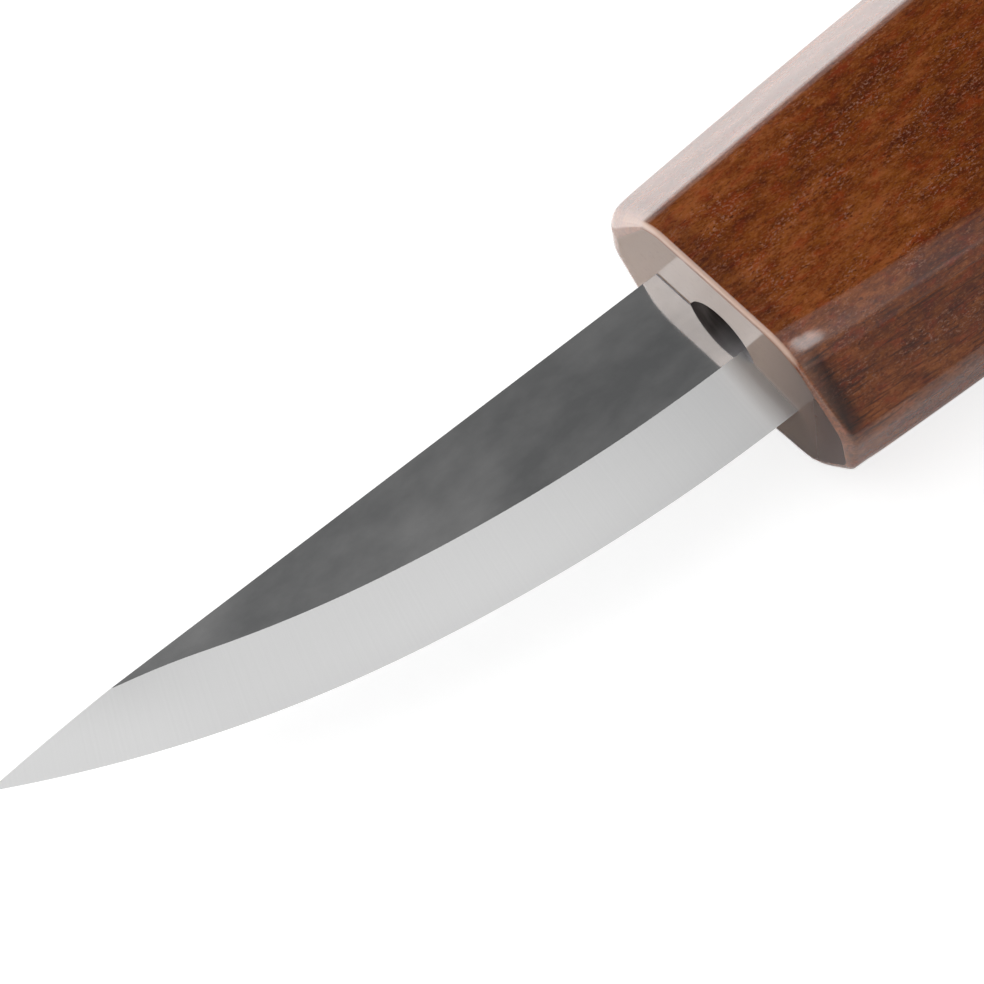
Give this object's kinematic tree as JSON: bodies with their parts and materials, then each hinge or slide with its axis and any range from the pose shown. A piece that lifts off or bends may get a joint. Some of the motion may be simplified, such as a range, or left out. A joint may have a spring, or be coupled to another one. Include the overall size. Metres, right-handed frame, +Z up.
{
  "type": "wood carving knife",
  "caption": "Fixed-blade carving knife: straight-spined steel blade with a curved edge and wide ground bevels, tang bonded into a faceted lacquered walnut handle.",
  "frame": {"origin": "middle of the bounding box's underside, on the plane of the flat handle side that the knife lies on", "axes": "+X along the knife from the tip to the butt, +Y across the blade from the edge to the spine, +Z up, square to the blade's flats"},
  "size_m": [0.17, 0.032, 0.0154],
  "materials": {
    "blade_steel": "ground and polished, sharp",
    "walnut": "gloss clear lacquer over walnut",
    "epoxy": "cured adhesive, hidden"
  },
  "bodies": {
    "root": {"blade": "blade_steel", "handle": "walnut", "tang_epoxy": "epoxy"}
  },
  "joints": []
}
